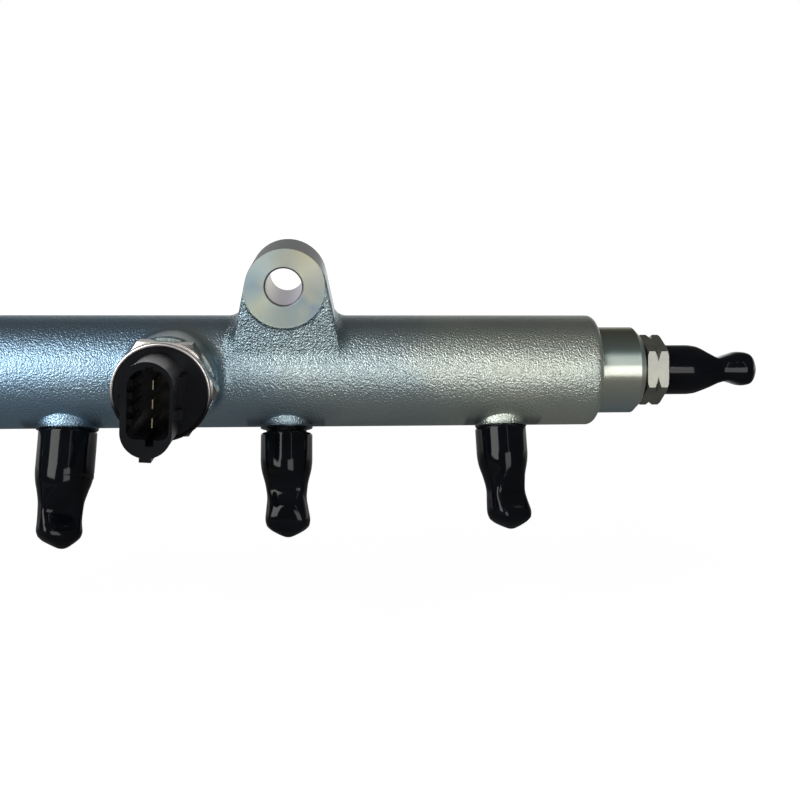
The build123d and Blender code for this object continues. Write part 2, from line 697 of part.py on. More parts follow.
# ----------------------------------------------------------------- transit caps
def cap_seat(plane_at, seat, nipple_length):
    """Plane of a cap's rim; plane_at gives the plane a distance above the port face.

    The cap leans about the middle of its nipple, so that it stays clear of the thread.
    """
    turn, lean, extra = seat
    middle = nipple_length / 2
    leaning = swung(plane_at(middle), lean, turn)
    return leaning.offset(cap_stand_off + extra - middle)


def make_cap(label, rim, thread_d, cap_d, body_length, grip_scale):
    """Makes one transit cap; rim is the plane of its open end, facing the grip."""
    cap_r = cap_d / 2
    tip = body_length + grip_length
    side = lengthwise(rim)
    narrow = Plane(origin=rim.origin, x_dir=rim.y_dir, z_dir=rim.y_dir.cross(rim.z_dir))
    wide_points = [(r * grip_scale, body_length + v) for r, v in grip_wide]
    front_points = [(r * grip_scale, body_length + v) for r, v in grip_front]
    rear_points = [(-r * grip_scale, body_length + v) for r, v in grip_rear]
    with BuildPart() as cap:
        # turned body with a rounded grip
        with BuildSketch(side) as half_section:
            with BuildLine():
                Polyline((0, tip), (0, 0), (cap_r - cap_rim_chamfer, 0), (cap_r, cap_rim_chamfer),
                         (cap_r, body_length))
                Spline((cap_r, body_length), *wide_points, (0, tip),
                       tangents=[(0, 1), (-1, 0)])
            make_face()
        revolve(half_section.sketch, axis=Axis(rim.origin, rim.z_dir))

        # hollows on both sides of the grip
        with BuildSketch(narrow) as side_outline:
            with BuildLine():
                side_r = cap_r + grip_margin
                top = tip + grip_margin
                Spline((side_r, body_length), *front_points, (grip_crown, top),
                       tangents=[(-hollow_run_in, 1), (-1, 1)])
                Line((grip_crown, top), (-grip_crown, top))
                Spline((-grip_crown, top), *reversed(rear_points), (-side_r, body_length),
                       tangents=[(-1, -1), (-hollow_run_in, -1)])
                Polyline((-side_r, body_length), (-side_r, -grip_margin),
                         (side_r, -grip_margin), (side_r, body_length))
            make_face()
        extrude(side_outline.sketch, amount=cap_r, both=True, mode=Mode.INTERSECT)

        # cavity over the thread
        with BuildSketch(rim) as cavity:
            Circle(thread_d / 2 + cap_wall_gap)
        extrude(cavity.sketch, amount=body_length - cap_roof, mode=Mode.SUBTRACT)
    cap.part.label = label
    export_step(cap.part, f"parts/{label}.step")


for number, (x, seat) in enumerate(zip(outlet_x, outlet_cap_seats), start=1):
    rim = cap_seat(lambda h: port_plane(x, port_face + h), seat, outlet_nipple_length)
    make_cap(f"outlet_cap_{number}", rim, outlet_thread_d, outlet_cap_d, outlet_cap_body, 1)

rim = cap_seat(lambda h: port_plane(inlet_x, port_face + h), inlet_cap_seat, inlet_nipple_length)
make_cap("inlet_cap", rim, inlet_thread_d, inlet_cap_d, inlet_cap_body, inlet_grip_scale)

rim = cap_seat(lambda h: across_rail(hex_face + h), return_cap_seat, return_nipple_length)
make_cap("return_cap", rim, return_thread_d, outlet_cap_d, outlet_cap_body, 1)
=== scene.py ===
from math import cos, pi, radians, sin
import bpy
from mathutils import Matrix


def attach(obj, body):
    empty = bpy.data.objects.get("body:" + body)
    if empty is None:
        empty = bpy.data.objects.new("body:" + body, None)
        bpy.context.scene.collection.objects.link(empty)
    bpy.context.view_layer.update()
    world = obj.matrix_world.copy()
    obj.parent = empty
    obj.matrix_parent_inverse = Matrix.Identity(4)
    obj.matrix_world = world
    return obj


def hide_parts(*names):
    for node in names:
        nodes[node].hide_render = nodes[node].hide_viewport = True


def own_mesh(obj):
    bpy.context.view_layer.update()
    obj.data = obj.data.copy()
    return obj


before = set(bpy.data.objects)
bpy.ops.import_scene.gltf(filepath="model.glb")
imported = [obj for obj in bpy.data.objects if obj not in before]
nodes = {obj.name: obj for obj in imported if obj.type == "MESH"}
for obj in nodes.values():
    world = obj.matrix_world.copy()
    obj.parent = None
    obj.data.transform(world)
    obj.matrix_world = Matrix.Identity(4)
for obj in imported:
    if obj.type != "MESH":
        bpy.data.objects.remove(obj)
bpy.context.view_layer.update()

from types import SimpleNamespace

import bpy
import numpy as np
from mathutils import Matrix, Vector

mm = 0.001

# ------------------------------------------------------------- sizes of the part
# All places are in the part's own frame: +X along the rail, +Z up, -Y the front.
rail_y = -17.5 * mm
rail_z = -27.7 * mm
rail_end = 160.0 * mm
lug_x = 65.4 * mm
lug_front = -31.9 * mm
spot_face_r = 11.85 * mm
bolt_hole_r = 5.25 * mm
rear_pad_y = -1.6 * mm
port_pitch = 65.4 * mm
port_tilt = radians(24.1)
port_face = 17.6 * mm
inlet_shift = 0.6 * mm
sensor_x = 33.15 * mm
sensor_rise = radians(3.8)
sensor_hexagon_reach = 32.8 * mm  # front of the sensor's hexagon, along the sensor axis
sensor_land_r = 13.5 * mm         # round turned face on that hexagon
sleeve_reach = 36.4 * mm          # front of the sensor's sleeve, along the sensor axis
hexagon_face = 181.6 * mm         # outer face of the relief valve's hexagon

# ------------------------------------------------------------------ node helpers
# Numbers of the two inputs and the output of Blender's Mix node, by what it mixes
mix_sockets = {"FLOAT": (2, 3, 0), "VECTOR": (4, 5, 1), "RGBA": (6, 7, 2)}


class Nodes:
    """Adds nodes to a tree. An input is given as a socket to link or as a plain value."""

    def __init__(self, tree):
        self.tree = tree

    def fill(self, node, inputs):
        for name, value in inputs.items():
            socket = node.inputs[name]
            if isinstance(value, bpy.types.NodeSocket):
                self.tree.links.new(value, socket)
            elif socket.type == "RGBA":
                socket.default_value = (*value, 1)
            else:
                socket.default_value = value

    def add(self, kind, inputs=None, **settings):
        made = self.tree.nodes.new(kind)
        for key, value in settings.items():
            setattr(made, key, value)
        self.fill(made, inputs or {})
        return made

    def math(self, operation, *values):
        return self.add("ShaderNodeMath", dict(enumerate(values)), operation=operation).outputs[0]

    def both(self, *masks):
        product = masks[0]
        for mask in masks[1:]:
            product = self.math("MULTIPLY", product, mask)
        return product

    def either(self, *masks):
        highest = masks[0]
        for mask in masks[1:]:
            highest = self.math("MAXIMUM", highest, mask)
        return highest

    def span(self, value, low, high, at_low=0.0, at_high=1.0, **settings):
        """at_low where value is low or less, at_high where it is high or more."""
        inputs = {"Value": value, "From Min": low, "From Max": high,
                  "To Min": at_low, "To Max": at_high}
        return self.add("ShaderNodeMapRange", inputs, **settings).outputs["Result"]


class Finish(Nodes):
    """A node material built on the place of each point in the part, in millimetres."""

    def __init__(self, name, metallic=0.0, **shader_values):
        self.material = bpy.data.materials.new(name)
        self.material.use_nodes = True
        super().__init__(self.material.node_tree)
        self.shade(Metallic=metallic, **shader_values)
        place = self.add("ShaderNodeTexCoord").outputs["Object"]
        self.place = self.add("ShaderNodeVectorMath", {0: place, "Scale": 1 / mm},
                              operation="SCALE").outputs[0]
        self.x, self.y, self.z = self.add("ShaderNodeSeparateXYZ", {0: self.place}).outputs

    def shade(self, **inputs):
        """Fills inputs of the shader; an underscore stands for a blank in their names."""
        named = {name.replace("_", " "): value for name, value in inputs.items()}
        self.fill(self.tree.nodes["Principled BSDF"], named)

    def rise(self, value, low, high):
        """0 below low and 1 above high, with a smooth change between them."""
        return self.span(value, low, high, interpolation_type="SMOOTHSTEP")

    def fall(self, value, low, high):
        """1 below low and 0 above high."""
        return self.math("SUBTRACT", 1.0, self.rise(value, low, high))

    def distance(self, a, b):
        """Length of the two offsets a and b taken as a right angle."""
        squares = self.math("ADD", self.math("MULTIPLY", a, a), self.math("MULTIPLY", b, b))
        return self.math("SQRT", squares)

    def sweep(self, up, across):
        """Direction of the offset (across, up) as a share of a turn, 0.5 straight across."""
        angle = self.math("ARCTAN2", up, across)
        return self.math("ADD", self.math("DIVIDE", angle, 2 * pi), 0.5)

    def noise(self, per_mm, detail=2.0, stretch=(1, 1, 1)):
        """Noise from 0 to 1 with about per_mm features in each millimetre."""
        place = self.add("ShaderNodeVectorMath", {0: self.place, 1: stretch},
                         operation="MULTIPLY").outputs[0]
        made = self.add("ShaderNodeTexNoise", {"Vector": place, "Scale": per_mm, "Detail": detail})
        return made.outputs["Fac"]

    def mix(self, kind, factor, first, second):
        """first where factor is 0 and second where it is 1."""
        a, b, result = mix_sockets[kind]
        made = self.add("ShaderNodeMix", {0: factor, a: first, b: second}, data_type=kind)
        return made.outputs[result]

    # the same for numbers, for colours and for directions
    def mixed(self, factor, first, second):
        return self.mix("FLOAT", factor, first, second)

    def tinted(self, factor, first, second):
        return self.mix("RGBA", factor, first, second)

    def turned(self, factor, first, second):
        return self.mix("VECTOR", factor, first, second)

    def ramp(self, factor, stops):
        """Colour by factor; stops are (position, (r, g, b)) pairs."""
        made = self.add("ShaderNodeValToRGB", {"Fac": factor})
        elements = made.color_ramp.elements
        while len(elements) < len(stops):
            elements.new(0.5)
        for element, (position, colour) in zip(elements, stops):
            element.position = position
            element.color = (*colour, 1)
        return made.outputs["Color"]

    def bumped(self, height, depth, strength):
        """Surface normal for a height from 0 to 1 that stands for depth in metres."""
        inputs = {"Height": height, "Distance": depth, "Strength": strength}
        return self.add("ShaderNodeBump", inputs).outputs["Normal"]

    def finish(self, colour, roughness, normal, **others):
        """Links what varies over the surface, and returns the material."""
        self.shade(Base_Color=colour, Roughness=roughness, Normal=normal, **others)
        return self.material


# --------------------------------------------------------------------- materials
blasted_depth = 0.44 * mm
tool_mark_depth = 0.006 * mm
valve_mark_depth = 0.01 * mm
tint_drift_length = 330.0         # millimetres of rail over which the passivation's tint drifts
ring_pitch = 2 * pi / 14.0        # millimetres between the milled rings round a bolt hole


def rail_zones(m):
    """Masks from 0 to 1 of the rail's differently finished areas and of the areas painted with
    shade or reflection, and places in them in mm.

    Each rise or fall gives the two places, in millimetres, between which its mask changes.
    """
    zone = SimpleNamespace()
    zone.out = m.math("SUBTRACT", rail_y / mm, m.y)
    zone.up = m.math("SUBTRACT", m.z, rail_z / mm)

    # lugs, with their smooth crown painted dark as shade, and a painted shadow below the milled
    # face
    spot_r = spot_face_r / mm
    zone.side = m.math("SUBTRACT", m.math("ABSOLUTE", m.x), lug_x / mm)
    zone.from_bolt = m.distance(zone.side, m.z)
    front = m.fall(m.y, lug_front / mm + 0.15, lug_front / mm + 0.35)
    zone.lug = m.both(m.fall(m.math("ABSOLUTE", zone.side), 16.0, 19.0), m.rise(m.z, -24.0, -19.0))
    # painted shade: the up-facing crown of each lug is painted dark
    zone.crown = m.both(m.rise(m.z, 2.0, 7.0), m.rise(zone.from_bolt, 10.2, 10.7),
                        m.math("SUBTRACT", 1.0, front))
    zone.under_spot = m.both(m.fall(zone.from_bolt, spot_r + 0.4, spot_r + 1.1),
                             m.fall(m.z, -9.0, -2.0), zone.lug)

    # turned and milled faces
    zone.spot = m.both(front, m.fall(zone.from_bolt, spot_r - 0.05, spot_r + 0.05))
    zone.bore = m.fall(zone.from_bolt, bolt_hole_r / mm + 0.1, bolt_hole_r / mm + 0.6)
    rear = m.rise(m.y, rear_pad_y / mm + 0.1, rear_pad_y / mm + 0.4)
    zone.nose = m.rise(m.x, rail_end / mm - 0.3, rail_end / mm + 0.1)
    zone.machined = m.either(zone.spot, zone.bore, rear, zone.nose)

    # top of the bar, painted darker as shade, and the smooth crescent on the boss above the sensor,
    # painted lighter where it faces up
    zone.on_top = m.both(m.rise(zone.up, 11.0, 16.5), m.fall(zone.up, 17.8, 20.0))
    beside = m.math("SUBTRACT", m.x, sensor_x / mm)
    from_sensor = m.distance(m.math("SUBTRACT", beside, 3.0), m.math("SUBTRACT", zone.up, 4.0))
    # partly a real smooth face, partly painted reflection: its up-facing part is tinted lighter
    # olive
    zone.crescent = m.both(m.fall(from_sensor, 7.0, 15.0), m.fall(m.y, -27.0, -19.0),
                           m.rise(zone.up, 4.0, 11.0))

    # threads of the nipples, painted near black as shade, and the shoulders and edges of the port
    # bosses, painted dark as shade
    reach = m.math("SUBTRACT", m.math("MULTIPLY", zone.out, sin(port_tilt)),
                   m.math("MULTIPLY", zone.up, cos(port_tilt)))
    face = port_face / mm
    from_port = m.math("PINGPONG", m.x, port_pitch / mm / 2)
    at_port = m.fall(from_port, 11.0, 12.0)
    zone.thread = m.both(m.rise(reach, face + 0.02, face + 0.12), at_port)
    # painted shade: the boss shoulders and the edge by each cap's rim are darkened
    shoulder = m.both(m.rise(from_port, 4.0, 7.0), m.rise(reach, 13.0, 16.0))
    edge = m.rise(reach, face - 0.9, face - 0.5)
    zone.port_edge = m.both(m.either(shoulder, edge), m.fall(zone.up, -14.0, -10.0), at_port)
    return zone


def blasted_skin(m, zone):
    """Tint and normal of the forged skin, whose tint drifts along the rail in soft clouds, with
    painted shade on the bar's top, the lug crowns, below the milled faces and at the port bosses,
    and a painted reflection on the crescent.
    """
    cloud = m.noise(0.035, detail=3.0)
    along = m.math("ADD", m.math("DIVIDE", m.x, tint_drift_length), 0.5)
    drift = m.math("ADD", along, m.math("MULTIPLY", m.math("SUBTRACT", cloud, 0.5), 0.35))
    tint = m.ramp(drift, [(0.0, (0.33, 0.52, 0.76)), (0.5, (0.36, 0.54, 0.70)),
                          (0.72, (0.48, 0.60, 0.64)), (0.95, (0.80, 0.85, 0.74))])
    # painted shade: the bar's top, facing up, is darkened
    for mask, share, colour in ((zone.on_top, 0.35, (0.24, 0.26, 0.27)),
                                # painted reflection: lighter olive on the up-facing part of the
                                # smooth crescent
                                (zone.crescent, 1.0, (0.44, 0.46, 0.40)),
                                (zone.lug, 0.25, (0.20, 0.30, 0.33)),
                                # painted shadow below the milled face
                                (zone.under_spot, 0.85, (0.04, 0.06, 0.07)),
                                # painted shade on the up-facing lug crowns
                                (zone.crown, 1.0, (0.22, 0.24, 0.23)),
                                # painted shade at the port bosses' shoulders and edges
                                (zone.port_edge, 0.6, (0.05, 0.07, 0.09))):
        tint = m.tinted(m.both(mask, share), tint, colour)

    grain = m.mixed(zone.lug, m.noise(1.9, detail=1.0), m.noise(2.05, detail=1.0))
    strength = m.mixed(zone.crescent, m.mixed(zone.lug, 0.62, 1.0), 0.08)
    smooth = m.add("ShaderNodeNewGeometry").outputs["Normal"]
    normal = m.turned(m.both(zone.crown, 0.8), m.bumped(grain, blasted_depth, strength), smooth)
    return tint, normal


def machined_faces(m, zone):
    """Tint and normal of the turned nose and of the milled faces and bores of the lugs; the nose's
    and milled faces' tints by angle hold painted reflection besides their passivation tints.
    """
    # partly passivation tint, partly painted reflection: a bright band where the nose faces front,
    # darker above
    nose_tint_and_reflection = m.ramp(m.sweep(zone.up, zone.out),
                       [(0.35, (0.6, 0.75, 0.8)), (0.5, (0.95, 0.95, 0.8)),
                        (0.6, (0.6, 0.75, 0.7)), (0.7, (0.4, 0.4, 0.3))])
    round_bolt = m.sweep(m.z, zone.side)
    # painted reflection: the milled face's light and dark sectors round the bolt are painted by
    # angle; the mottle added next is its own tint
    spot_tint_and_reflection = m.ramp(round_bolt, [(0.0, (0.5, 0.65, 0.7)), (0.1, (0.8, 0.9, 0.8)),
                                    (0.4, (0.4, 0.5, 0.55)), (0.6, (0.85, 0.85, 0.7)),
                                    (1.0, (0.5, 0.65, 0.7))])
    mottle = m.both(m.rise(m.noise(0.16, detail=3.0), 0.42, 0.72), 0.32)
    spot_tint_and_reflection = m.tinted(mottle, spot_tint_and_reflection, (0.92, 0.84, 0.48))
    bore_tint = m.ramp(round_bolt, [(0.05, (0.40, 0.40, 0.30)), (0.30, (0.36, 0.33, 0.42))])
    tint = m.tinted(zone.nose, m.tinted(zone.bore, spot_tint_and_reflection, bore_tint), nose_tint_and_reflection)

    rings = m.math("SINE", m.math("MULTIPLY", zone.from_bolt, 2 * pi / ring_pitch))
    turn_marks = m.noise(2.2, detail=1.0, stretch=(5, 0.15, 0.15))
    return tint, m.bumped(m.mixed(zone.nose, rings, turn_marks), tool_mark_depth, 0.5)


def forged_zinc():
    """Shot-blasted zinc with blue passivation, and its turned and milled faces."""
    m = Finish("forged_zinc", metallic=1.0)
    zone = rail_zones(m)
    skin, skin_normal = blasted_skin(m, zone)
    face, face_normal = machined_faces(m, zone)
    # painted shade: the nipple threads in the gap under each cap's rim are painted near black
    colour = m.tinted(zone.thread, m.tinted(zone.machined, skin, face), (0.012, 0.012, 0.014))
    roughness = m.mixed(zone.nose, m.mixed(zone.spot, m.mixed(zone.lug, 0.38, 0.31), 0.50), 0.36)
    normal = m.turned(zone.machined, skin_normal, face_normal)

    # turning marks run round the bolt hole and round the nose: the shine spreads across them
    sideways = m.math("MULTIPLY", m.math("SIGN", m.x), zone.side)
    outward = m.add("ShaderNodeCombineXYZ", {"X": sideways, "Z": m.z}).outputs[0]
    across = m.turned(zone.nose, outward, (1, 0, 0))
    spread = m.either(m.both(zone.spot, 0.45), m.both(zone.nose, 0.95))
    # painted shade: the crown's reflection at a slant is dimmed as well
    crown_shade_at_a_slant = m.tinted(zone.crown, (1, 1, 1), (0.4, 0.4, 0.4))
    return m.finish(colour, roughness, normal, Tangent=across, Anisotropic=spread,
                    Specular_Tint=crown_shade_at_a_slant)


def turned_zinc():
    """Turned zinc-plated steel of the relief valve."""
    m = Finish("turned_zinc", metallic=1.0)
    cloud = m.noise(0.25, detail=3.0)
    tint = m.ramp(cloud, [(0.3, (0.34, 0.34, 0.31)), (0.7, (0.46, 0.46, 0.39))])
    marks = m.noise(2.0, detail=1.0, stretch=(6, 0.3, 0.3))
    return m.finish(tint, m.mixed(cloud, 0.34, 0.46), m.bumped(marks, valve_mark_depth, 0.5))


def plain_metal(name, first, second, low, high):
    """Ground or drawn metal with faint marks; two tints and two roughnesses."""
    m = Finish(name, metallic=1.0)
    cloud = m.noise(0.4, detail=3.0)
    marks = m.noise(3.0, detail=1.0)
    return m.finish(m.tinted(cloud, first, second), m.mixed(cloud, low, high),
                    m.bumped(marks, tool_mark_depth, 0.4))


def sensor_steel():
    """Steel of the sensor: a dull hexagon, and a polished face, sleeve and lip, painted dark
    towards their lower side as shade.
    """
    m = Finish("sensor_steel", metallic=1.0)
    cloud = m.noise(0.4, detail=3.0)
    beside = m.math("SUBTRACT", m.x, sensor_x / mm)
    out = m.math("SUBTRACT", rail_y / mm, m.y)
    above = m.math("SUBTRACT", m.z, rail_z / mm)
    axial = m.math("ADD", m.math("MULTIPLY", out, cos(sensor_rise)),
                   m.math("MULTIPLY", above, sin(sensor_rise)))
    square = m.math("SUBTRACT", m.math("MULTIPLY", above, cos(sensor_rise)),
                    m.math("MULTIPLY", out, sin(sensor_rise)))
    land, hexagon = sensor_land_r / mm, sensor_hexagon_reach / mm
    inside = m.fall(m.distance(beside, square), land - 0.15, land + 0.05)
    lip = m.rise(axial, sleeve_reach / mm - 0.2, sleeve_reach / mm)
    bright = m.either(m.both(inside, m.rise(axial, hexagon - 0.8, hexagon - 0.5)), lip)
    flat = m.tinted(cloud, (0.34, 0.32, 0.28), (0.50, 0.48, 0.43))
    # painted shade: the polished faces turn near black towards their lower side
    polished = m.tinted(m.rise(square, -5.0, 3.0), (0.03, 0.03, 0.035), (0.95, 0.90, 0.86))
    colour = m.tinted(bright, flat, polished)
    marks = m.noise(3.0, detail=1.0)
    return m.finish(colour, m.mixed(bright, 0.22, 0.34), m.bumped(marks, tool_mark_depth, 0.4))


def moulded(name, colour, worn, low, high, grain=1.5, depth=0.01, **shader_values):
    """Moulded plastic or rubber with a faint texture; grain per mm and depth in mm."""
    m = Finish(name, **shader_values)
    cloud = m.noise(0.12, detail=3.0)
    fine = m.noise(grain)
    return m.finish(m.tinted(m.rise(cloud, 0.4, 0.75), colour, worn), m.mixed(cloud, low, high),
                    m.bumped(fine, depth * mm, 0.5))


finishes = {
    "forged_zinc": forged_zinc(),
    "valve_zinc": turned_zinc(),
    "hard_steel": plain_metal("hard_steel", (0.42, 0.42, 0.41), (0.55, 0.54, 0.52), 0.18, 0.3),
    "spring_steel": plain_metal("spring_steel", (0.20, 0.20, 0.21), (0.30, 0.29, 0.28), 0.3, 0.42),
    "sensor_steel": sensor_steel(),
    "cap_plastic": moulded("cap_plastic", (0.002, 0.0024, 0.0036), (0.003, 0.004, 0.006),
                           0.06, 0.12, grain=0.35, depth=0.03, Specular_IOR_Level=0.25),
    "connector_plastic": moulded("connector_plastic", (0.0035, 0.004, 0.006),
                                 (0.005, 0.006, 0.008), 0.24, 0.34, depth=0.003,
                                 Specular_IOR_Level=0.35),
    "contact_metal": plain_metal("contact_metal", (0.80, 0.62, 0.30), (0.88, 0.84, 0.70), 0.2, 0.3),
    "board_laminate": moulded("board_laminate", (0.02, 0.12, 0.05), (0.03, 0.15, 0.07), 0.35, 0.5),
    "holder_plastic": moulded("holder_plastic", (0.50, 0.48, 0.42), (0.58, 0.55, 0.48), 0.4, 0.5),
    "seal_rubber": moulded("seal_rubber", (0.015, 0.015, 0.015), (0.03, 0.03, 0.03), 0.5, 0.7),
}
for node in nodes.values():
    slot = node.material_slots[0]
    slot.material = finishes[slot.material.name]


def new_object(name, data):
    """A new object in the scene."""
    made = bpy.data.objects.new(name, data)
    bpy.context.scene.collection.objects.link(made)
    return made


def smooth_object(name, points, faces, finish):
    mesh = bpy.data.meshes.new(name)
    mesh.from_pydata(points, [], faces)
    mesh.polygons.foreach_set("use_smooth", [True] * len(mesh.polygons))
    mesh.materials.append(finishes[finish])
    return new_object(name, mesh)


# ------------------------------------------------------------------ transit caps
# Sizes here are in millimetres. A cap's shoulder is where its round body ends and its
# flattened grip begins.
injector_union = {"thread_r": 6.95, "cap_r": 7.75, "body": 10.7}
pump_union = {"thread_r": 7.95, "cap_r": 8.4, "body": 14.4}
nipple_length = 10.0
inlet_nipple_length = 13.6
cap_rim_lift = 0.35               # rim above the port face
cap_chamfer = 0.3                 # at the rim
wall_start = 0.9                  # evenly spaced levels start here, after the rim
taper_start = 2.8                 # the round body narrows from here, before the shoulder
taper = 0.2                       # by how much its radius has shrunk at grip_edge
grip_edge = 0.5                   # the hollows start here, before the shoulder
cap_play = 0.22                   # between the union's thread and the cap
cap_roof = 0.5                    # inner end of the cap, before the shoulder
grip_start = 0.6                  # the closely spaced levels start here, before the shoulder
hollow_softness = 2.0             # rounding where a hollow meets the grip
cap_segments = 120
wall_level_count = 14
grip_level_count = 98
# Outlines of the grip: half width and distance from the shoulder
grip_round = [(6.3, 4.9), (5.9, 8.4), (6.3, 12.0), (6.65, 15.0), (6.3, 16.8),
              (5.2, 18.0), (3.2, 19.2), (1.4, 20.0), (0.6, 20.24), (0.0, 20.3)]
inlet_grip_round = [(7.9, 1.2), (7.3, 3.3), (6.45, 7.6), (6.3, 12.0), (6.5, 15.0), (6.1, 16.6),
                    (4.95, 17.9), (3.1, 19.1), (1.4, 20.0), (0.6, 20.24), (0.0, 20.3)]
# Hollows in the grip: distance of their floor from the axis, and from the shoulder
front_hollow = [(5.4, 4.0), (4.1, 6.7), (4.6, 9.0), (5.6, 11.7), (5.2, 14.0), (4.5, 16.4),
                (3.4, 18.4), (1.2, 20.4)]
rear_hollow = [(6.4, 4.6), (4.4, 7.2), (3.45, 9.9), (4.1, 13.0), (4.95, 15.6), (4.6, 17.6),
               (3.4, 19.2), (1.2, 20.4)]
return_upper_hollow = [(8.4, 0.9), (5.8, 3.8), (3.9, 7.2), (4.8, 10.6), (5.8, 13.7), (5.6, 16.0),
                       (4.4, 18.2), (2.8, 19.6), (1.0, 20.3)]
return_lower_hollow = [(8.6, 0.6), (6.6, 3.9), (4.3, 7.6), (3.7, 10.2), (4.3, 12.6), (5.1, 15.2),
                       (4.9, 17.0), (4.0, 18.5), (2.6, 19.6), (1.0, 20.3)]
# Sideways shift of a grip and distance from the shoulder
straight = [(0.0, 0.0), (0.0, 20.3)]
inlet_bend = [(0.0, -12.0), (-0.08, -5.8), (-0.15, -2.2), (-0.25, 0.6), (-0.40, 3.3),
              (-0.62, 7.6), (-0.70, 12.0), (-0.57, 15.0), (-0.40, 17.9), (0.35, 20.3)]


def through(points, places):
    """Smooth curve through (value, place) pairs that never overshoots them."""
    value, place = np.array(points).T
    chord = np.diff(value) / np.diff(place)
    slope = np.zeros(len(value))
    same_way = chord[:-1] * chord[1:] > 0
    slope[1:-1][same_way] = 2 / (1 / chord[:-1][same_way] + 1 / chord[1:][same_way])
    i = np.clip(np.searchsorted(place, places, side="right") - 1, 0, len(place) - 2)
    span = place[i + 1] - place[i]
    t = np.clip((places - place[i]) / span, 0, 1)
    return ((1 + 2 * t) * (1 - t) ** 2 * value[i] + t * (1 - t) ** 2 * span * slope[i]
            + t * t * (3 - 2 * t) * value[i + 1] + t * t * (t - 1) * span * slope[i + 1])


def softer_minimum(a, b, softness):
    share = np.clip(0.5 + 0.5 * (b - a) / softness, 0, 1)
    return b + (a - b) * share - softness * share * (1 - share)


def seated(origin, side, normal, seat, length):
    """Turns and leans a cap about the middle of its nipple; seat is (turn, lean, extra lift)."""
    turn, lean, extra = seat
    axes = Matrix((side, normal.cross(side), normal)).transposed().to_4x4()
    return (Matrix.Translation(origin) @ axes @ Matrix.Rotation(radians(lean), 4, "Y")
            @ Matrix.Rotation(radians(turn), 4, "Z")
            @ Matrix.Translation((0, 0, (cap_rim_lift + extra - length / 2) * mm)))


def cap_place(x, seat, length):
    """Matrix of a cap's rim on a fuel port: local Z runs to the tip, local Y to the front."""
    normal = Vector((0, -sin(port_tilt), -cos(port_tilt)))
    origin = Vector((x, rail_y, rail_z)) + normal * (port_face + length / 2 * mm)
    return seated(origin, Vector((1, 0, 0)), normal, seat, length)


def cap_curves(cap_r, body, grip, scoops, bend):
    """Levels from rim to tip and, at each, the radius, both hollows and the sideways shift."""
    grip_base = body - grip_start
    wall_levels = np.linspace(wall_start, grip_base, wall_level_count)
    closer_to_tip = np.sin(np.linspace(0, pi / 2, grip_level_count + 2)[1:-1])
    grip_levels = grip_base + (grip[-1][1] + grip_start) * closer_to_tip
    levels = np.concatenate([[0.0, cap_chamfer * 0.3, cap_chamfer], wall_levels, grip_levels])

    wall = [(cap_r - cap_chamfer, 0), (cap_r, cap_chamfer), (cap_r, body - taper_start),
            (cap_r - taper, body - grip_edge)]
    radius = through(wall + [(r, body + beyond) for r, beyond in grip], levels)
    outside = [(cap_r + 2, 0), (cap_r + 2, body - grip_edge)]
    hollows = [through(outside + [(depth, body + beyond) for depth, beyond in points], levels)
               for points in scoops]
    return levels, radius, *hollows, through(bend, levels - body)


def make_cap(name, place, thread_r, cap_r, body, grip=grip_round,
             scoops=(front_hollow, rear_hollow), turn=0.0, bend=straight):
    """One push-on cap as a closed mesh; bend gives its sideways shift along its length."""
    angle = np.linspace(0, 2 * pi, cap_segments, endpoint=False)
    side, front = np.cos(angle), np.sin(angle)
    sideways = Matrix.Rotation(-radians(turn), 2) @ Vector((1, 0))

    def ring(r, level, shift=0.0):
        return np.stack([side * r + shift * sideways[0], front * r + shift * sideways[1],
                         np.full(cap_segments, level)], 1)

    roof = body - cap_roof
    rings = [ring(thread_r + cap_play, roof), ring(thread_r + cap_play, 0.0)]
    for level, r, ahead, behind, shift in zip(*cap_curves(cap_r, body, grip, scoops, bend)):
        if level > body * 0.9:
            hollow = np.where(front > 0, ahead, behind) / np.maximum(np.abs(front), 0.05)
            r = np.maximum(softer_minimum(r, hollow, hollow_softness), 0.02)
        rings.append(ring(r, level, shift))
    tip = (*(bend[-1][0] * sideways), body + grip[-1][1])
    points = np.concatenate([[(0, 0, roof)], *rings, [tip]]) * mm

    neighbours = [(i, (i + 1) % cap_segments) for i in range(cap_segments)]
    last = 1 + (len(rings) - 1) * cap_segments
    faces = [(a + i, a + j, a + cap_segments + j, a + cap_segments + i)
             for a in range(1, last, cap_segments) for i, j in neighbours]
    for i, j in neighbours:
        faces += [(0, 1 + j, 1 + i), (last + i, last + j, len(points) - 1)]
    points = [place @ Vector(point) for point in points]
    cap = smooth_object(name + "_moulded", points, faces, "cap_plastic")
    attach(cap, "rail")
    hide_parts(name)


# Name, steps of the port pitch from the middle, seat, and sideways shift
outlet_caps = [("outlet_cap_1", -2, (158, -0.9, 0.3), straight),
               ("outlet_cap_2", -1, (-10, 0.6, 0.0), [(0.0, 0.0), (0.3, 9.0), (0.9, 20.3)]),
               ("outlet_cap_3", 1, (5, -0.2, 1.4), [(0.0, 0.0), (0.2, 9.0), (0.6, 20.3)]),
               ("outlet_cap_4", 2, (153, 1.8, 0.0), [(0.0, 0.0), (0.4, 9.0), (1.34, 20.3)])]
for name, step, seat, bend in outlet_caps:
    place = cap_place(step * port_pitch, seat, nipple_length)
    make_cap(name, place, **injector_union, turn=seat[0], bend=bend)
inlet_seat = (153, -1.7, 0.0)
place = cap_place(inlet_shift, inlet_seat, inlet_nipple_length)
make_cap("inlet_cap", place, **pump_union, grip=inlet_grip_round, turn=inlet_seat[0],
         bend=inlet_bend)
valve_nipple = Vector((hexagon_face + nipple_length / 2 * mm, rail_y, rail_z))
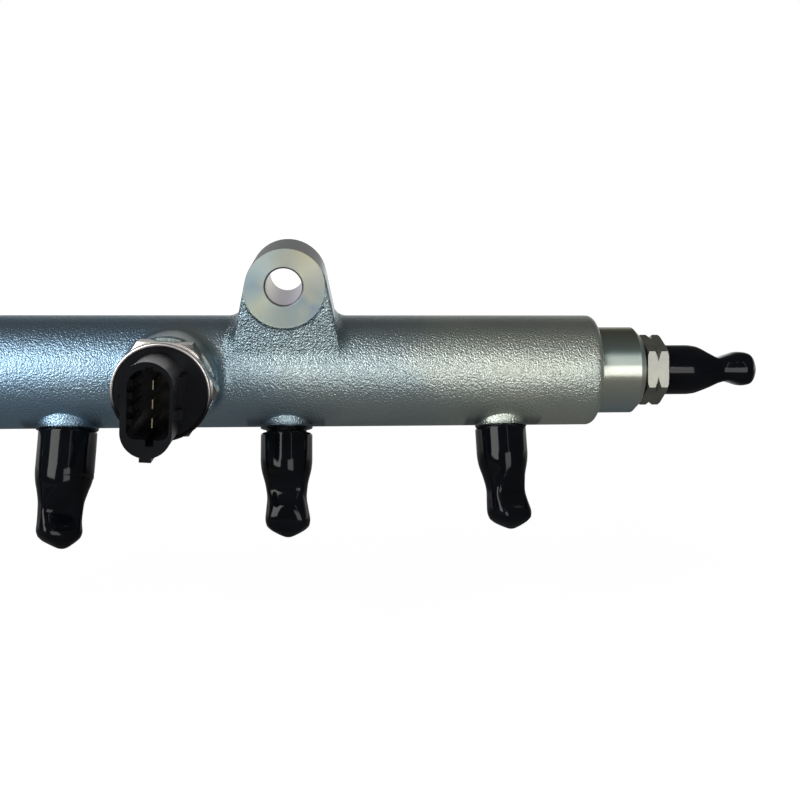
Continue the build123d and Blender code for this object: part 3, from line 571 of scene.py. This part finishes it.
place = seated(valve_nipple, Vector((0, 1, 0)), Vector((1, 0, 0)), (-12, 0.0, -0.2), nipple_length)
make_cap("return_cap", place, **injector_union,
         scoops=(return_upper_hollow, return_lower_hollow))


# ------------------------------------------------------ sensor's lip, relief spring
def make_rolled_edge():
    """Lip of the sensor's sleeve, rolled over the outer band of the connector disc."""
    # half section: distance from the axis and height above the sleeve, in millimetres
    section = [(13.22, -0.02), (13.34, 0.02), (13.40, 0.35), (13.36, 0.70), (13.20, 0.92),
               (12.95, 1.02), (12.65, 1.00), (12.45, 0.92), (12.40, 0.74), (13.22, 0.74)]
    segments = 160
    axis = Vector((0, -cos(sensor_rise), sin(sensor_rise)))
    side = Vector((1, 0, 0))
    square = axis.cross(side)
    origin = Vector((sensor_x, rail_y, rail_z)) + axis * sleeve_reach
    points, faces = [], []
    for i in range(segments):
        turn = 2 * pi * i / segments
        outward = side * cos(turn) + square * sin(turn)
        points += [origin + outward * (r * mm) + axis * (h * mm) for r, h in section]
        a, b = i * len(section), (i + 1) % segments * len(section)
        for k in range(len(section)):
            n = (k + 1) % len(section)
            faces.append((a + k, b + k, b + n, a + n))
    edge = smooth_object("rolled_edge", points, faces, "sensor_steel")
    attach(edge, "rail")


def make_moving_spring():
    """The relief spring again, as a piece of its own with a copy of the part's mesh."""
    mesh = nodes["relief_spring"].data.copy()
    spring = new_object("relief_spring_wound", mesh)
    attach(spring, "rail")
    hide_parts("relief_spring")
    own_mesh(spring)


make_rolled_edge()
make_moving_spring()


# ------------------------------------------------------------------------- studio
middle = Vector((60 * mm, rail_y, rail_z))      # of what the camera sees
lamp_distance = 1.2
floor_height = -0.14
floor_size = 8.0


def backdrop_level(m, depth, near, far, dim, bright):
    """bright for camera rays; for reflections, bright behind the object and dim before it."""
    path = m.add("ShaderNodeLightPath").outputs
    reflected = m.either(path["Is Glossy Ray"], path["Is Transmission Ray"])
    behind = m.span(depth, near, far, dim, bright)
    return m.either(m.both(path["Is Camera Ray"], bright), m.both(reflected, behind))


def make_floor():
    """Pale floor; its glow brings it to white where rays see the background."""
    bpy.ops.mesh.primitive_plane_add(size=floor_size, location=(0, 0, floor_height))
    floor = bpy.context.object
    floor.name = "floor"
    material = bpy.data.materials.new("floor")
    material.use_nodes = True
    m = Nodes(material.node_tree)
    place = m.add("ShaderNodeNewGeometry").outputs["Position"]
    depth = m.add("ShaderNodeSeparateXYZ", {0: place}).outputs["Y"]
    distance = m.add("ShaderNodeVectorMath", {0: place}, operation="LENGTH").outputs["Value"]
    glow = backdrop_level(m, depth, 0.1, 0.8, 0.0, m.span(distance, 0.3, 1.2, 0.90, 1.0))
    m.fill(m.tree.nodes["Principled BSDF"],
           {"Base Color": (0.16, 0.16, 0.16), "Roughness": 0.9, "Specular IOR Level": 0.0,
            "Emission Color": (1, 1, 1), "Emission Strength": glow})
    floor.data.materials.append(material)


def make_world():
    """White backdrop to the camera, a darker room in front, and soft level light."""
    world = bpy.data.worlds.new("studio")
    bpy.context.scene.world = world
    world.use_nodes = True
    m = Nodes(world.node_tree)
    direction = m.add("ShaderNodeTexCoord").outputs["Generated"]
    split = m.add("ShaderNodeSeparateXYZ", {0: direction}).outputs
    back_and_low = m.math("MULTIPLY_ADD", split["Z"], -1.4, split["Y"])
    seen = backdrop_level(m, back_and_low, 0.2, 0.9, 0.10, 1.0)
    level_light = m.both(m.add("ShaderNodeLightPath").outputs["Is Diffuse Ray"], 0.45)
    m.fill(m.tree.nodes["Background"],
           {"Color": (1, 1, 1), "Strength": m.either(level_light, seen)})


def softbox(name, direction, size, radiance):
    """A rectangular lamp that looks at the object; direction is azimuth and elevation."""
    azimuth, elevation = map(radians, direction)
    offset = Vector((sin(azimuth) * cos(elevation), -cos(azimuth) * cos(elevation), sin(elevation)))
    data = bpy.data.lights.new(name, "AREA")
    data.shape = "RECTANGLE"
    data.size, data.size_y = size
    data.energy = radiance * pi * size[0] * size[1]
    lamp = new_object(name, data)
    lamp.location = middle + offset * lamp_distance
    lamp.rotation_euler = (-offset).to_track_quat("-Z", "Y").to_euler()


make_world()
make_floor()
softbox("window", (-42, 27), size=(0.72, 0.9), radiance=4.8)
softbox("right_panel", (20, 9), size=(0.5, 0.5), radiance=3.2)
softbox("right_strip", (26, 34), size=(0.03, 0.7), radiance=3.0)

# ------------------------------------------------------------------------- camera
camera_place = (76.41 * mm, -318.68 * mm, 39.26 * mm)
camera_down = radians(14.17)
camera_pan = radians(-4.52)
camera_roll = radians(0.76)
camera_data = bpy.data.cameras.new("camera")
camera_data.sensor_width = 36.0
camera_data.lens = 45.2
camera = new_object("camera", camera_data)
camera.matrix_world = (Matrix.Translation(camera_place) @ Matrix.Rotation(camera_pan, 4, "Z")
                       @ Matrix.Rotation(pi / 2 - camera_down, 4, "X")
                       @ Matrix.Rotation(camera_roll, 4, "Z"))
bpy.context.scene.camera = camera
bpy.context.scene.view_settings.view_transform = "Standard"
